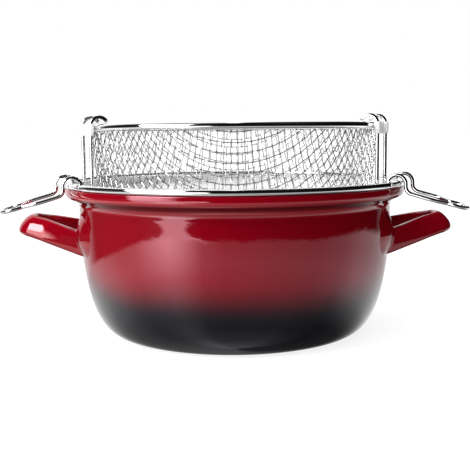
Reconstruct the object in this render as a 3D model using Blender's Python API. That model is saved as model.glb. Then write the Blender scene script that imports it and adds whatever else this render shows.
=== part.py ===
"""Deep fry pot with a wire basket, standing raised on its two wire hangers.

Metres, +Z up. The origin is the centre of the pot's flat base and the front is -Y.
Every piece is its own object, and its material is made beside it.
"""

import math

import bmesh
import bpy
import numpy as np
from mathutils import Matrix, Vector

MM = 0.001

# Fits shared by all pieces
SEAT_GAP = 0.3 * MM
SLIDE_GAP = 0.35 * MM
CUT_OVERRUN = 2.0 * MM
ROUND_STEPS = 48

# Enamelled pot: its free edge and its height set the rest
POT_EDGE_RADIUS = 137.9 * MM
POT_RIM_HEIGHT = 123.3 * MM
POT_WALL = 1.6 * MM
COLLAR_STEP = 1.8 * MM
COLLAR_DEPTH = 10.5 * MM
COLLAR_TOP_FILLET = 1.8 * MM
COLLAR_TOP_TURN = math.radians(75.0)
NECK_INSET = 9.3 * MM
NECK_FLARE = 0.8 * MM
SHOULDER_STEP = 1.6 * MM
SHOULDER_RISE = 3.6 * MM
COLLAR_RISE = 4.4 * MM
UPPER_WALL_HEIGHT = 22.8 * MM
BASE_CORNER_REACH = 31.8 * MM
BASE_PANEL_INSET = 12.0 * MM
BASE_PANEL_RISE = 0.8 * MM
BELLY_POINTS = 7
COLLAR_FILLET_STEPS = 2
RING_STEPS = 8

# Stainless ring rolled over the pot's edge
POT_RIM_TUBE = 3.0 * MM

# Loop handles, left and right
HANDLE_PROJECTION = 53.2 * MM
HANDLE_LIMB_SPREAD = 41.0 * MM
HANDLE_END_STRAIGHT = 2.0 * MM
HANDLE_DEPTH = 20.0 * MM
HANDLE_THICKNESS = 8.5 * MM
HANDLE_END_LEAN = math.radians(43.0)
HANDLE_ROOT_DROP = 3.8 * MM
HANDLE_RISE = 11.0 * MM
HANDLE_CORNER = 14.0 * MM
HANDLE_SECTION_SIDES = 10
HANDLE_CORNER_STEPS = 5
HANDLE_LIMB_STEPS = 3

# Low domes on the pot's wall that the handles' limbs spring from
BOSS_WIDTH = 42.0 * MM
BOSS_DEPTH = 44.0 * MM
BOSS_BULGE = 5.6 * MM
BOSS_SINK = 8.6 * MM
BOSS_SIDESTEP = 3.0 * MM
BOSS_RISE = 8.1 * MM
BOSS_SIDES = 14
BOSS_RINGS = 10

# Basket: rolled rim and pressed wire mesh, raised above the pot's rim
BASKET_CLEARANCE = 12.7 * MM
BASKET_RAISE = 44.7 * MM
BASKET_RIM_TUBE = 3.0 * MM
BASKET_DEPTH = 94.0 * MM
BASKET_CORNER = 20.0 * MM
BASKET_TAPER = math.radians(8.0)
MESH_WIRE_WIDTH = 1.8 * MM
MESH_WIRE_DEPTH = 1.4 * MM
MESH_WIRES_EACH_WAY = 22
MESH_OUTER_MARGIN_SHARE = 0.35

# Wire hangers, one mirrored from the other
WIRE_RADIUS = 1.5 * MM
HANGER_TURN = math.radians(21.5)
LEG_SPREAD = 15.0 * MM
TOP_HOOK_RADIUS = 6.6 * MM
TOP_HOOK_CUT = math.radians(35.0)
TOP_HOOK_LIFT = 1.6 * MM
LEG_FOOT_CLEARANCE = 0.2 * MM
RIM_HOOK_RADIUS = 7.0 * MM
RIM_HOOK_BEARING = math.radians(10.5)
GRIP_DROP = 6.1 * MM
GRIP_BEND_RADIUS = 6.0 * MM
GRIP_LENGTH = 44.3 * MM
GRIP_SLOPE = math.radians(15.2)
# Share of the grip's length, and half width as a share of the legs' spread
GRIP_PLAN_SHARES = (
    (0.33, 1.04), (0.48, 1.0), (0.60, 0.76), (0.69, 0.58), (0.80, 0.66), (0.93, 0.52), (1.0, 0.0),
)
HOOK_STEPS = 8
BEND_STEPS = 4
GRIP_STEPS = 2

# Sheet metal clips that carry the basket rim on the legs
CLIP_SHEET = 0.6 * MM
CLIP_HEIGHT = 9.0 * MM
CLIP_TOP_RISE = 1.3 * MM
CLIP_SIDES = 12

# Radii worked out from the sizes above, from the pot's edge inward and outward
collar_radius = POT_EDGE_RADIUS + COLLAR_STEP
neck_radius = POT_EDGE_RADIUS - NECK_INSET
shoulder_radius = neck_radius + SHOULDER_STEP
belly_radius = neck_radius - NECK_FLARE
base_radius = belly_radius - BASE_CORNER_REACH
base_panel_radius = base_radius - BASE_PANEL_INSET
pot_rim_centre = POT_EDGE_RADIUS - POT_WALL / 2
handle_reach = belly_radius + HANDLE_PROJECTION
handle_end_spread = HANDLE_CORNER + HANDLE_END_STRAIGHT
basket_rim_radius = pot_rim_centre - POT_RIM_TUBE - BASKET_CLEARANCE
basket_rim_centre = basket_rim_radius - BASKET_RIM_TUBE
leg_radius = basket_rim_radius + SEAT_GAP + CLIP_SHEET + SLIDE_GAP + WIRE_RADIUS
leg_out = math.sqrt(leg_radius**2 - LEG_SPREAD**2)

# Heights worked out from the sizes above, from the pot's rim down and up
collar_low_height = POT_RIM_HEIGHT - COLLAR_DEPTH
shoulder_height = collar_low_height - COLLAR_RISE
neck_height = shoulder_height - SHOULDER_RISE
belly_height = neck_height - UPPER_WALL_HEIGHT
handle_root_height = belly_height - HANDLE_ROOT_DROP
basket_rim_height = POT_RIM_HEIGHT + BASKET_RAISE
top_hook_height = basket_rim_height + TOP_HOOK_LIFT


def clear_scene():
    for old in list(bpy.data.objects):
        bpy.data.objects.remove(old)


def material(name, colour, roughness, metallic):
    made = bpy.data.materials.new(name)
    made.use_nodes = True
    shader = made.node_tree.nodes["Principled BSDF"]
    shader.inputs["Base Color"].default_value = (*colour, 1.0)
    shader.inputs["Roughness"].default_value = roughness
    shader.inputs["Metallic"].default_value = metallic
    return made


def red_enamel(name):
    return material(name, (0.36, 0.012, 0.022), 0.15, 0.0)


def bright_steel(name):
    return material(name, (0.72, 0.73, 0.74), 0.16, 1.0)


def link(mesh, name, finish, smooth_angle=math.radians(40)):
    """Puts a finished mesh in the scene as one named, smooth shaded object."""
    mesh.name = name
    mesh.shade_smooth()
    mesh.set_sharp_from_angle(angle=smooth_angle)
    made = bpy.data.objects.new(name, mesh)
    made.data.materials.append(finish)
    bpy.context.scene.collection.objects.link(made)
    return made


def revolve(name, outline, finish, steps=ROUND_STEPS):
    """Spins a closed (radius, height) outline once round Z. Points on the axis become poles."""
    shape = bmesh.new()
    verts = [shape.verts.new((radius, 0, height)) for radius, height in outline]
    edges = [shape.edges.new((a, b)) for a, b in zip(verts, verts[1:])]
    if outline[0][0] or outline[-1][0]:
        edges.append(shape.edges.new((verts[-1], verts[0])))
    bmesh.ops.spin(
        shape, geom=verts + edges, cent=(0, 0, 0), axis=(0, 0, 1),
        angle=2 * math.pi, steps=steps, use_merge=True,
    )
    bmesh.ops.remove_doubles(shape, verts=shape.verts[:], dist=SEAT_GAP / ROUND_STEPS)
    bmesh.ops.recalc_face_normals(shape, faces=shape.faces[:])
    mesh = bpy.data.meshes.new(name)
    shape.to_mesh(mesh)
    shape.free()
    return link(mesh, name, finish)


def arc(centre, radius, start, stop, steps):
    """Points on a circle from one angle to another, ends included."""
    angles = np.linspace(start, stop, steps + 1)
    return [(centre[0] + radius * math.cos(a), centre[1] + radius * math.sin(a)) for a in angles]


def offset_line(points, distance):
    """The (radius, height) line moved to its left by a distance, mitred at each point."""
    line = np.array(points)
    runs = np.diff(line, axis=0)
    sides = np.stack([-runs[:, 1], runs[:, 0]], axis=1)
    sides /= np.linalg.norm(sides, axis=1)[:, None]
    before = np.vstack([sides[:1], sides])
    after = np.vstack([sides, sides[-1:]])
    mitre = before + after
    mitre *= 2 / (mitre**2).sum(axis=1)[:, None]
    return [tuple(point) for point in line + distance * mitre]


def pot_outer_line():
    """Outside of the pressed pot from the edge of its base to its free edge, going up.

    The belly is a quarter ellipse that leaves the base flat and ends upright.
    """
    angles = np.linspace(-math.pi / 2, 0, BELLY_POINTS)
    line = [
        (base_radius + BASE_CORNER_REACH * math.cos(a), belly_height * (1 + math.sin(a)))
        for a in angles
    ]
    collar_top = POT_RIM_HEIGHT - POT_RIM_TUBE - SEAT_GAP
    fillet_centre = (collar_radius - COLLAR_TOP_FILLET, collar_top - COLLAR_TOP_FILLET)
    line += [
        (neck_radius, neck_height),
        (shoulder_radius, shoulder_height),
        (collar_radius - POT_WALL, collar_low_height - POT_WALL / 2),
        (collar_radius, collar_low_height + POT_WALL / 2),
    ]
    line += arc(fillet_centre, COLLAR_TOP_FILLET, 0, COLLAR_TOP_TURN, COLLAR_FILLET_STEPS)
    line += [(POT_EDGE_RADIUS, collar_top), (POT_EDGE_RADIUS, POT_RIM_HEIGHT)]
    return line


def make_pot():
    outer = pot_outer_line()
    inner = offset_line(outer, POT_WALL)
    inner[0] = (inner[0][0], POT_WALL)
    panel_slope = base_panel_radius - BASE_PANEL_RISE
    underside = [(0, BASE_PANEL_RISE), (panel_slope, BASE_PANEL_RISE), (base_panel_radius, 0)]
    inner_floor = [
        (base_panel_radius, POT_WALL),
        (panel_slope, POT_WALL + BASE_PANEL_RISE),
        (0, POT_WALL + BASE_PANEL_RISE),
    ]
    outline = underside + outer + inner[::-1] + inner_floor
    return revolve("pot_body", outline, red_enamel("pot_enamel"))


def rolled_ring(name, centre, tube, slot_inner, slot_outer, slot_top, finish):
    """A ring rolled from strip: round outside, with a slot from below that grips a sheet or mesh.

    The slot's sides are given as radii from the axis, its top as a height.
    """
    radius, height = centre
    right = math.asin((slot_outer - radius) / tube) - math.pi / 2
    left = math.asin((slot_inner - radius) / tube) - math.pi / 2
    section = arc(centre, tube, right, left + 2 * math.pi, RING_STEPS)
    section += [(slot_inner, slot_top), (slot_outer, slot_top)]
    return revolve(name, section, finish)


def make_pot_rim():
    return rolled_ring(
        "pot_rim",
        (pot_rim_centre, POT_RIM_HEIGHT),
        POT_RIM_TUBE,
        POT_EDGE_RADIUS - POT_WALL - SEAT_GAP,
        POT_EDGE_RADIUS + SEAT_GAP,
        POT_RIM_HEIGHT + SEAT_GAP,
        bright_steel("rim_steel"),
    )


def handle_line():
    """Half of the loop's centre line, from inside the wall to the middle of its far end.

    The upright section leans outward more and more on its way, so that its top turns in.
    Returns (outward, sideways, height, lean) rows.
    """
    half_width = math.hypot(
        HANDLE_THICKNESS / 2 * math.cos(HANDLE_END_LEAN), HANDLE_DEPTH / 2 * math.sin(HANDLE_END_LEAN)
    )
    end = handle_reach - half_width
    wall = math.sqrt(belly_radius**2 - HANDLE_LIMB_SPREAD**2)
    corner = (end - HANDLE_CORNER, handle_end_spread - HANDLE_CORNER)
    turn = math.atan2(HANDLE_LIMB_SPREAD - handle_end_spread, corner[0] - wall)
    plan = [
        (outward, HANDLE_LIMB_SPREAD - (outward - wall) * math.tan(turn))
        for outward in np.linspace(wall - HANDLE_THICKNESS, corner[0], HANDLE_LIMB_STEPS + 1)
    ]
    plan += arc(corner, HANDLE_CORNER, math.pi / 2 - turn, 0, HANDLE_CORNER_STEPS)
    plan += [(end, 0)]
    rows = []
    for outward, sideways in plan:
        along = max((outward - wall) / (end - wall), 0)
        height = handle_root_height + HANDLE_RISE * along
        rows.append((outward, sideways, height, HANDLE_END_LEAN * along**2))
    return rows


def handle_mesh(name):
    """Sweeps the oval section round the loop, leaning as each row says, and caps both ends."""
    half = handle_line()
    rows = half + [(out, -side, height, lean) for out, side, height, lean in half[-2::-1]]
    line = np.array([row[:2] for row in rows])
    runs = np.gradient(line, axis=0)
    runs /= np.linalg.norm(runs, axis=1)[:, None]
    across = np.stack([runs[:, 1], -runs[:, 0]], axis=1)
    angles = np.linspace(0, 2 * math.pi, HANDLE_SECTION_SIDES, endpoint=False)
    shape = bmesh.new()
    rings = []
    for (out, side, height, lean), inward in zip(rows, across):
        ring = []
        for angle in angles:
            thick = HANDLE_THICKNESS / 2 * math.cos(angle)
            deep = HANDLE_DEPTH / 2 * math.sin(angle)
            shift = thick * math.cos(lean) + deep * math.sin(lean)
            rise = deep * math.cos(lean) - thick * math.sin(lean)
            ring.append(shape.verts.new((out + inward[0] * shift, side + inward[1] * shift, height + rise)))
        rings.append(ring)
    for first, second in zip(rings, rings[1:]):
        for i in range(HANDLE_SECTION_SIDES):
            j = (i + 1) % HANDLE_SECTION_SIDES
            shape.faces.new((first[i], first[j], second[j], second[i]))
    shape.faces.new(rings[0])
    shape.faces.new(rings[-1][::-1])
    bmesh.ops.recalc_face_normals(shape, faces=shape.faces[:])
    mesh = bpy.data.meshes.new(name)
    shape.to_mesh(mesh)
    shape.free()
    return mesh


def wall_offset_solid(name, distance):
    """The pot's outside up to the collar as a solid, grown by a distance. It is a helper for cuts."""
    below_collar = [point for point in pot_outer_line() if point[1] < collar_low_height]
    grown = offset_line(below_collar, -distance)
    low, high = -CUT_OVERRUN, POT_RIM_HEIGHT + CUT_OVERRUN
    outline = [(0, low), (grown[0][0], low)] + grown + [(grown[-1][0], high), (0, high)]
    return as_helper(revolve(name, outline, red_enamel(name)))


def as_helper(made):
    """Marks an object as a cutter or guide, which isn't a piece."""
    made.hide_render = True
    made.display_type = "WIRE"
    return made


def boolean(made, operation, helper):
    step = made.modifiers.new(f"{operation.lower()} {helper.name}", "BOOLEAN")
    step.operation = operation
    step.object = helper


def boss_blank(name, turn, side):
    """A flattened ball sunk into the wall, whose cap outside the wall becomes a boss."""
    direction = side * math.asin((HANDLE_LIMB_SPREAD + BOSS_SIDESTEP) / belly_radius)
    deep = BOSS_BULGE + BOSS_SINK
    wall_falls_back = (BOSS_WIDTH / 2) ** 2 / (2 * belly_radius)
    widen = 1 / math.sqrt(1 - ((BOSS_SINK - wall_falls_back) / deep) ** 2)
    halves = (deep, BOSS_WIDTH / 2 * widen, BOSS_DEPTH / 2 * widen)
    shape = bmesh.new()
    lay_down = Matrix.Rotation(math.pi / 2, 4, "Y")
    centre = Matrix.Translation((belly_radius - BOSS_SINK, 0, handle_root_height + BOSS_RISE))
    place = Matrix.Rotation(direction, 4, "Z") @ centre
    bmesh.ops.create_uvsphere(shape, u_segments=BOSS_SIDES, v_segments=BOSS_RINGS, radius=1, matrix=lay_down)
    bmesh.ops.scale(shape, vec=halves, verts=shape.verts[:])
    bmesh.ops.transform(shape, matrix=place, verts=shape.verts[:])
    mesh = bpy.data.meshes.new(name)
    shape.to_mesh(mesh)
    shape.free()
    blank = as_helper(link(mesh, name, red_enamel(name)))
    blank.rotation_euler = (0, 0, turn)
    return blank


def make_handles():
    """Both loop handles: a bent oval bar joined to two bosses, seated on the pot's wall."""
    seat = wall_offset_solid("handle_seat_cutter", SEAT_GAP)
    for name, turn in (("right_handle", 0), ("left_handle", math.pi)):
        handle = link(handle_mesh(name), name, red_enamel(name + "_enamel"))
        handle.rotation_euler = (0, 0, turn)
        for side, label in ((-1, "front"), (1, "rear")):
            boolean(handle, "UNION", boss_blank(f"{name}_{label}_boss_cutter", turn, side))
        boolean(handle, "DIFFERENCE", seat)


def basket_line():
    """Sizes of the mesh's meridian, which runs from the flat floor round a corner up the taper.

    Returns the floor's radius and height, the corner's length, the wall's length and its slope.
    """
    wall_top_height = basket_rim_height - SEAT_GAP
    floor_height = basket_rim_height - BASKET_DEPTH
    turn = math.pi / 2 - BASKET_TAPER
    corner_rise = BASKET_CORNER * (1 - math.cos(turn))
    corner_reach = BASKET_CORNER * math.sin(turn)
    wall_rise = wall_top_height - floor_height - corner_rise
    wall_length = wall_rise / math.cos(BASKET_TAPER)
    floor_radius = basket_rim_centre - wall_length * math.sin(BASKET_TAPER) - corner_reach
    return floor_radius, floor_height, BASKET_CORNER * turn, wall_length, turn


def pressed_place(across, along):
    """Where a point of the flat mesh sheet lies once it is pressed into the basket.

    It keeps its direction from the centre, and its distance becomes the way along the meridian.
    Returns the point and the outward normal there.
    """
    floor_radius, floor_height, corner_length, wall_length, turn = basket_line()
    distance = math.hypot(across, along)
    if distance <= floor_radius:
        radius, height, slope = distance, floor_height, 0
    elif distance <= floor_radius + corner_length:
        slope = (distance - floor_radius) / BASKET_CORNER
        radius = floor_radius + BASKET_CORNER * math.sin(slope)
        height = floor_height + BASKET_CORNER * (1 - math.cos(slope))
    else:
        slope = turn
        way = distance - floor_radius - corner_length
        radius = floor_radius + BASKET_CORNER * math.sin(turn) + way * math.cos(turn)
        height = floor_height + BASKET_CORNER * (1 - math.cos(turn)) + way * math.sin(turn)
    side = Vector((across, along, 0)) / distance
    point = side * radius + Vector((0, 0, height))
    normal = side * math.sin(slope) - Vector((0, 0, math.cos(slope)))
    return point, normal


def make_basket_mesh():
    """Square wire mesh pressed to a basket: ridged wires that meet in shared crossings.

    Each crossing has four inner corners and one outer ridge point, and a wire joins the
    facing corners of two neighbours. Past the last crossing each wire runs on to the edge.
    """
    floor_radius, _, corner_length, wall_length, _ = basket_line()
    edge = floor_radius + corner_length + wall_length
    pitch = 2 * edge / MESH_WIRES_EACH_WAY
    places = (np.arange(MESH_WIRES_EACH_WAY) - (MESH_WIRES_EACH_WAY - 1) / 2) * pitch
    last = edge - pitch * MESH_OUTER_MARGIN_SHARE
    half = MESH_WIRE_WIDTH / 2
    shape = bmesh.new()

    def inner(across, along):
        return shape.verts.new(pressed_place(across, along)[0])

    def ridge(across, along):
        point, normal = pressed_place(across, along)
        return shape.verts.new(point + normal * MESH_WIRE_DEPTH)

    crossings = {}
    for i, across in enumerate(places):
        for j, along in enumerate(places):
            if math.hypot(across, along) < last:
                corners = [
                    inner(across + a * half, along + b * half)
                    for a, b in ((1, 1), (-1, 1), (-1, -1), (1, -1))
                ]
                shape.faces.new(corners)
                crossings[i, j] = (corners, ridge(across, along))

    def wire(first, second):
        """Three sides between two (left, ridge, right) wire ends."""
        for k in range(3):
            shape.faces.new((first[k], first[(k + 1) % 3], second[(k + 1) % 3], second[k]))

    steps = ((1, 0, 3, 0, 2, 1), (0, 1, 0, 1, 3, 2), (-1, 0, 1, 2, 0, 3), (0, -1, 2, 3, 1, 0))
    for (i, j), (corners, top) in crossings.items():
        for di, dj, left, right, far_left, far_right in steps:
            start = (corners[left], top, corners[right])
            beside = crossings.get((i + di, j + dj))
            if beside is not None:
                if di + dj > 0:
                    wire(start, (beside[0][far_left], beside[1], beside[0][far_right]))
                continue
            fixed = places[j] if di else places[i]
            reach = math.sqrt(edge**2 - fixed**2) * (di + dj)
            sides = (-half, half) if di - dj > 0 else (half, -half)
            if di:
                ends = ((reach, fixed + sides[0]), (reach, fixed), (reach, fixed + sides[1]))
            else:
                ends = ((fixed + sides[0], reach), (fixed, reach), (fixed + sides[1], reach))
            end = (inner(*ends[0]), ridge(*ends[1]), inner(*ends[2]))
            wire(start, end)
            shape.faces.new(end)
    bmesh.ops.recalc_face_normals(shape, faces=shape.faces[:])
    mesh = bpy.data.meshes.new("basket_mesh")
    shape.to_mesh(mesh)
    shape.free()
    return link(mesh, "basket_mesh", bright_steel("mesh_wire"))


def make_basket_rim():
    """The ring's slot takes the mesh's edge, whose ridges stand out from the wall's inner face."""
    return rolled_ring(
        "basket_rim",
        (basket_rim_centre, basket_rim_height),
        BASKET_RIM_TUBE,
        basket_rim_centre - SEAT_GAP - MESH_WIRE_DEPTH / 2,
        basket_rim_centre + SEAT_GAP + MESH_WIRE_DEPTH,
        basket_rim_height + SEAT_GAP + MESH_WIRE_DEPTH / 2,
        bright_steel("basket_rim_steel"),
    )


def smooth_through(points, steps):
    """Catmull-Rom curve through the points, which keeps each one."""
    line = np.array(points)
    padded = np.vstack([2 * line[0] - line[1], line, 2 * line[-1] - line[-2]])
    made = [line[0]]
    for a, b, c, d in zip(padded, padded[1:], padded[2:], padded[3:]):
        for share in np.linspace(0, 1, steps + 1)[1:]:
            made.append(
                0.5 * (2 * b + (c - a) * share + (2 * a - 5 * b + 4 * c - d) * share**2
                       + (3 * b - a - 3 * c + d) * share**3)
            )
    return made


def hanger_half():
    """One leg of a hanger from the tip of its top hook to the middle of the grip.

    The lower hook goes over the pot's rim and bears on it a little above the rim's inner side.
    Rows are (outward, sideways, height) in the hanger's own frame.
    """
    hook_centre = (leg_out - TOP_HOOK_RADIUS, top_hook_height)
    side_view = arc(hook_centre, TOP_HOOK_RADIUS, math.pi - TOP_HOOK_CUT, 0, HOOK_STEPS)
    rim_out = math.sqrt(pot_rim_centre**2 - LEG_SPREAD**2)
    free = RIM_HOOK_RADIUS - WIRE_RADIUS - POT_RIM_TUBE - SEAT_GAP
    arch_out = rim_out + free * math.cos(RIM_HOOK_BEARING)
    foot_radius = (arch_out - RIM_HOOK_RADIUS - leg_out) / 2
    foot_height = collar_low_height + LEG_FOOT_CLEARANCE
    foot_centre = (leg_out + foot_radius, foot_height + foot_radius)
    side_view += arc(foot_centre, foot_radius, math.pi, 2 * math.pi, HOOK_STEPS - 1)
    arch_centre = (arch_out, POT_RIM_HEIGHT - free * math.sin(RIM_HOOK_BEARING))
    side_view += arc(arch_centre, RIM_HOOK_RADIUS, math.pi, 0, HOOK_STEPS)
    grip_start = arch_out + RIM_HOOK_RADIUS
    grip_root_height = POT_RIM_HEIGHT - GRIP_DROP
    bend_rise = math.cos(GRIP_SLOPE) - (1 - math.sin(GRIP_SLOPE)) * math.tan(GRIP_SLOPE)
    bend_centre = (grip_start + GRIP_BEND_RADIUS, grip_root_height + GRIP_BEND_RADIUS * bend_rise)
    side_view += arc(bend_centre, GRIP_BEND_RADIUS, math.pi, 3 * math.pi / 2 - GRIP_SLOPE, BEND_STEPS)
    rows = [(out, LEG_SPREAD, height) for out, height in side_view]
    last_out, last_height = side_view[-1]
    plan = [(last_out, LEG_SPREAD, last_height)]
    for along_share, width_share in GRIP_PLAN_SHARES:
        way = GRIP_LENGTH * along_share
        run = way + grip_start - last_out
        plan.append((last_out + run, LEG_SPREAD * width_share, last_height - run * math.tan(GRIP_SLOPE)))
    return rows, plan


def make_hanger(name, turn):
    """One wire, bent: hook, leg, foot, hook over the pot's rim, grip loop and back again."""
    rows, plan = hanger_half()
    mirrored = [(out, -side, height) for out, side, height in plan[-2::-1]]
    grip = smooth_through(plan + mirrored, GRIP_STEPS)
    points = rows + [tuple(point) for point in grip[1:-1]]
    points += [(out, -side, height) for out, side, height in rows[::-1]]
    curve = bpy.data.curves.new(name, "CURVE")
    curve.dimensions = "3D"
    curve.bevel_depth = WIRE_RADIUS
    curve.bevel_resolution = 1
    curve.use_fill_caps = True
    spline = curve.splines.new("POLY")
    spline.points.add(len(points) - 1)
    for place, point in zip(spline.points, points):
        place.co = (*point, 1)
    hanger = bpy.data.objects.new(name, curve)
    hanger.data.materials.append(bright_steel(name + "_wire"))
    hanger.rotation_euler = (0, 0, turn)
    bpy.context.scene.collection.objects.link(hanger)


def upright_cylinder(name, place, radius, height, sides=CLIP_SIDES):
    shape = bmesh.new()
    bmesh.ops.create_cone(
        shape, cap_ends=True, segments=sides, radius1=radius, radius2=radius, depth=height,
        matrix=Matrix.Translation(place),
    )
    mesh = bpy.data.meshes.new(name)
    shape.to_mesh(mesh)
    shape.free()
    return link(mesh, name, bright_steel(name))


def make_clip(name, turn):
    """A flat sheet strap whose ends curl round both legs, seated on the basket rim.

    It reaches just past the height where the legs bend into their top hooks, which stop it.
    """
    hole = WIRE_RADIUS + SLIDE_GAP
    curl = hole + CLIP_SHEET
    inner_face = basket_rim_radius + SEAT_GAP
    shape = bmesh.new()
    size = (CLIP_SHEET, 2 * LEG_SPREAD, CLIP_HEIGHT)
    clip_centre = top_hook_height + CLIP_TOP_RISE - CLIP_HEIGHT / 2
    place = Matrix.Translation((inner_face + CLIP_SHEET / 2, 0, clip_centre))
    bmesh.ops.create_cube(shape, size=1, matrix=place @ Matrix.Diagonal((*size, 1)))
    mesh = bpy.data.meshes.new(name)
    shape.to_mesh(mesh)
    shape.free()
    clip = link(mesh, name, bright_steel(name + "_sheet"))
    for side, label in ((LEG_SPREAD, "front"), (-LEG_SPREAD, "rear")):
        centre = (leg_out, side, clip_centre)
        curl_end = upright_cylinder(f"{name}_{label}_curl_cutter", centre, curl, CLIP_HEIGHT)
        bore = upright_cylinder(f"{name}_{label}_bore_cutter", centre, hole, CLIP_HEIGHT + CUT_OVERRUN)
        for operation, helper in (("UNION", curl_end), ("DIFFERENCE", bore)):
            helper.rotation_euler = (0, 0, turn)
            boolean(clip, operation, as_helper(helper))
    clip.rotation_euler = (0, 0, turn)


def make_part():
    clear_scene()
    make_pot()
    make_pot_rim()
    make_handles()
    make_basket_rim()
    make_basket_mesh()
    for side, turn in (("right", -HANGER_TURN), ("left", math.pi + HANGER_TURN)):
        make_hanger(side + "_hanger", turn)
        make_clip(side + "_clip", turn)


make_part()
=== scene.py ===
"""Deep fry pot with its wire basket raised on two wire hangers.

Metres, +Z up, front at -Y, with the origin at the centre of the pot's base. Each piece is
a surface worked out as a grid of points, and it stands where the solid that it replaces is.
"""

import math
from functools import partial

import bpy
import numpy as np
from mathutils import Matrix, Vector


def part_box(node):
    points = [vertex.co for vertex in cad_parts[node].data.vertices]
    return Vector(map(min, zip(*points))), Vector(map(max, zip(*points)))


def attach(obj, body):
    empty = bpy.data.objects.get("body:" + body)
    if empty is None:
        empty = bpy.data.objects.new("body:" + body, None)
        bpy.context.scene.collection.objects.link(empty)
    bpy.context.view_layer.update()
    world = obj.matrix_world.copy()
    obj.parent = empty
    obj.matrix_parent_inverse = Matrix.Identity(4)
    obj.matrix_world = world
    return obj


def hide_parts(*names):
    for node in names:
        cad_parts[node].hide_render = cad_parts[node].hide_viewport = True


bl_info = {
    "name": "Deep Fry Pot with Basket",
    "version": (1, 0, 0),
    "blender": (4, 5, 0),
    "location": "3D View > Sidebar > Fry Pot",
    "description": "Builds an enamelled deep fry pot, its wire basket and its hangers",
    "category": "Add Mesh",
}

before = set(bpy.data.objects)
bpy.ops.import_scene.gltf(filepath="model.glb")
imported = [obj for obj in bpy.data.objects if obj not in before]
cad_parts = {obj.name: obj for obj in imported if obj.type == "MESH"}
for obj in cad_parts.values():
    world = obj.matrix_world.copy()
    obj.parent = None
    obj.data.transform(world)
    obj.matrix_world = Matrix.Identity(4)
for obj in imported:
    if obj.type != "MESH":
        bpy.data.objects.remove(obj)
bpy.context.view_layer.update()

MM = 0.001
FULL_TURN = 2 * math.pi

# Heights and radii shared by several pieces
POT_RIM_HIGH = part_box("pot_rim")[1]
BASKET_RIM_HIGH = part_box("basket_rim")[1]
POT_RIM_TUBE = 3.0 * MM
POT_RIM_HEIGHT = POT_RIM_HIGH.z - POT_RIM_TUBE
POT_RIM_RADIUS = POT_RIM_HIGH.x - POT_RIM_TUBE
BASKET_RIM_TUBE = 3.0 * MM
BASKET_RIM_HEIGHT = BASKET_RIM_HIGH.z - BASKET_RIM_TUBE
BASKET_RIM_RADIUS = BASKET_RIM_HIGH.x - BASKET_RIM_TUBE
SEAT_GAP = 0.3 * MM

# Pot wall
BASE_RADIUS = 96.0 * MM
NECK_RADIUS = 128.6 * MM
NECK_HEIGHT = 104.8 * MM
BELLY_FULLNESS = 2.25
WALL = 1.6 * MM
COVE = 5.2 * MM
BEAD = 4.4 * MM
BEAD_HEIGHT = 116.2 * MM
GROOVE_HEIGHT = 111.1 * MM
COLLAR_RADIUS = 139.5 * MM
POT_EDGE_RADIUS = 137.9 * MM

# Handles and the bosses that they spring from
HANDLE_REACH = 180.95 * MM
BAR_THICK = 8.5 * MM
BAR_DEPTH = 19.2 * MM
BAR_ROOT_POWER = 0.6
BAR_END_POWER = 0.92
BAR_END_LEAN = math.radians(43.0)
BOSS_ALONG = 44.9 * MM
BOSS_HEIGHT = 82.0 * MM
BOSS_HALF_WIDTH = 23.0 * MM
BOSS_HALF_DEPTH = 18.3 * MM
BOSS_BULGE = 6.8 * MM
BOSS_SOFTNESS = 0.25
BOSS_SINK = 0.3 * MM

# Hangers
LEG_OUT = 123.24 * MM
LEG_SPREAD = 15.0 * MM
HANGER_TURN = math.radians(21.5)

# Shares of the grip's length, and of the legs' spread there
GRIP_PLAN = (
    (0.33, 1.04), (0.48, 1.0), (0.60, 0.76), (0.69, 0.58), (0.80, 0.66), (0.93, 0.52), (1.0, 0.0),
)

# Light that a ramp's value of 1 stands for in the world
BRIGHTEST = 5.0


# Mesh making


def mesh_from_faces(name, points, faces):
    """One smooth mesh object from arrays of points and of faces.

    A face is a quad, or a triangle whose last index is -1. All are turned over when the volume
    that they enclose comes out negative, so that they point out.
    """
    points = np.asarray(points, float).reshape(-1, 3)
    faces = np.asarray(faces, int)
    quads = faces[faces[:, 3] >= 0]
    thirds = faces[faces[:, 3] < 0][:, :3]
    corners = points[np.vstack([quads[:, [0, 1, 2]], quads[:, [0, 2, 3]], thirds])]
    volume = np.einsum("ij,ij->i", corners[:, 0], np.cross(corners[:, 1], corners[:, 2])).sum()
    if volume < 0:
        quads = quads[:, ::-1]
        thirds = thirds[:, ::-1]
    mesh = bpy.data.meshes.new(name)
    mesh.vertices.add(len(points))
    mesh.vertices.foreach_set("co", points.astype(np.float32).ravel())
    loops = np.concatenate([quads.ravel(), thirds.ravel()])
    mesh.loops.add(len(loops))
    mesh.loops.foreach_set("vertex_index", loops.astype(np.int32))
    counts = np.repeat([4, 3], [len(quads), len(thirds)])
    starts = np.concatenate([[0], np.cumsum(counts)[:-1]])
    mesh.polygons.add(len(counts))
    mesh.polygons.foreach_set("loop_start", starts.astype(np.int32))
    mesh.update(calc_edges=True)
    mesh.validate()
    mesh.shade_smooth()
    piece = bpy.data.objects.new(name, mesh)
    bpy.context.scene.collection.objects.link(piece)
    return piece


def grid_faces(rows, columns, wrap_rows=False, first=0):
    """Quads of rings of points numbered ring by ring, with the last ring joined to the first where asked."""
    down = np.arange(rows if wrap_rows else rows - 1)[:, None]
    across = np.arange(columns)[None, :]
    below = (down + 1) % rows
    beside = (across + 1) % columns
    corners = [(down, across), (down, beside), (below, beside), (below, across)]
    quads = np.stack([row * columns + column for row, column in corners], axis=-1)
    return quads.reshape(-1, 4) + first


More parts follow.
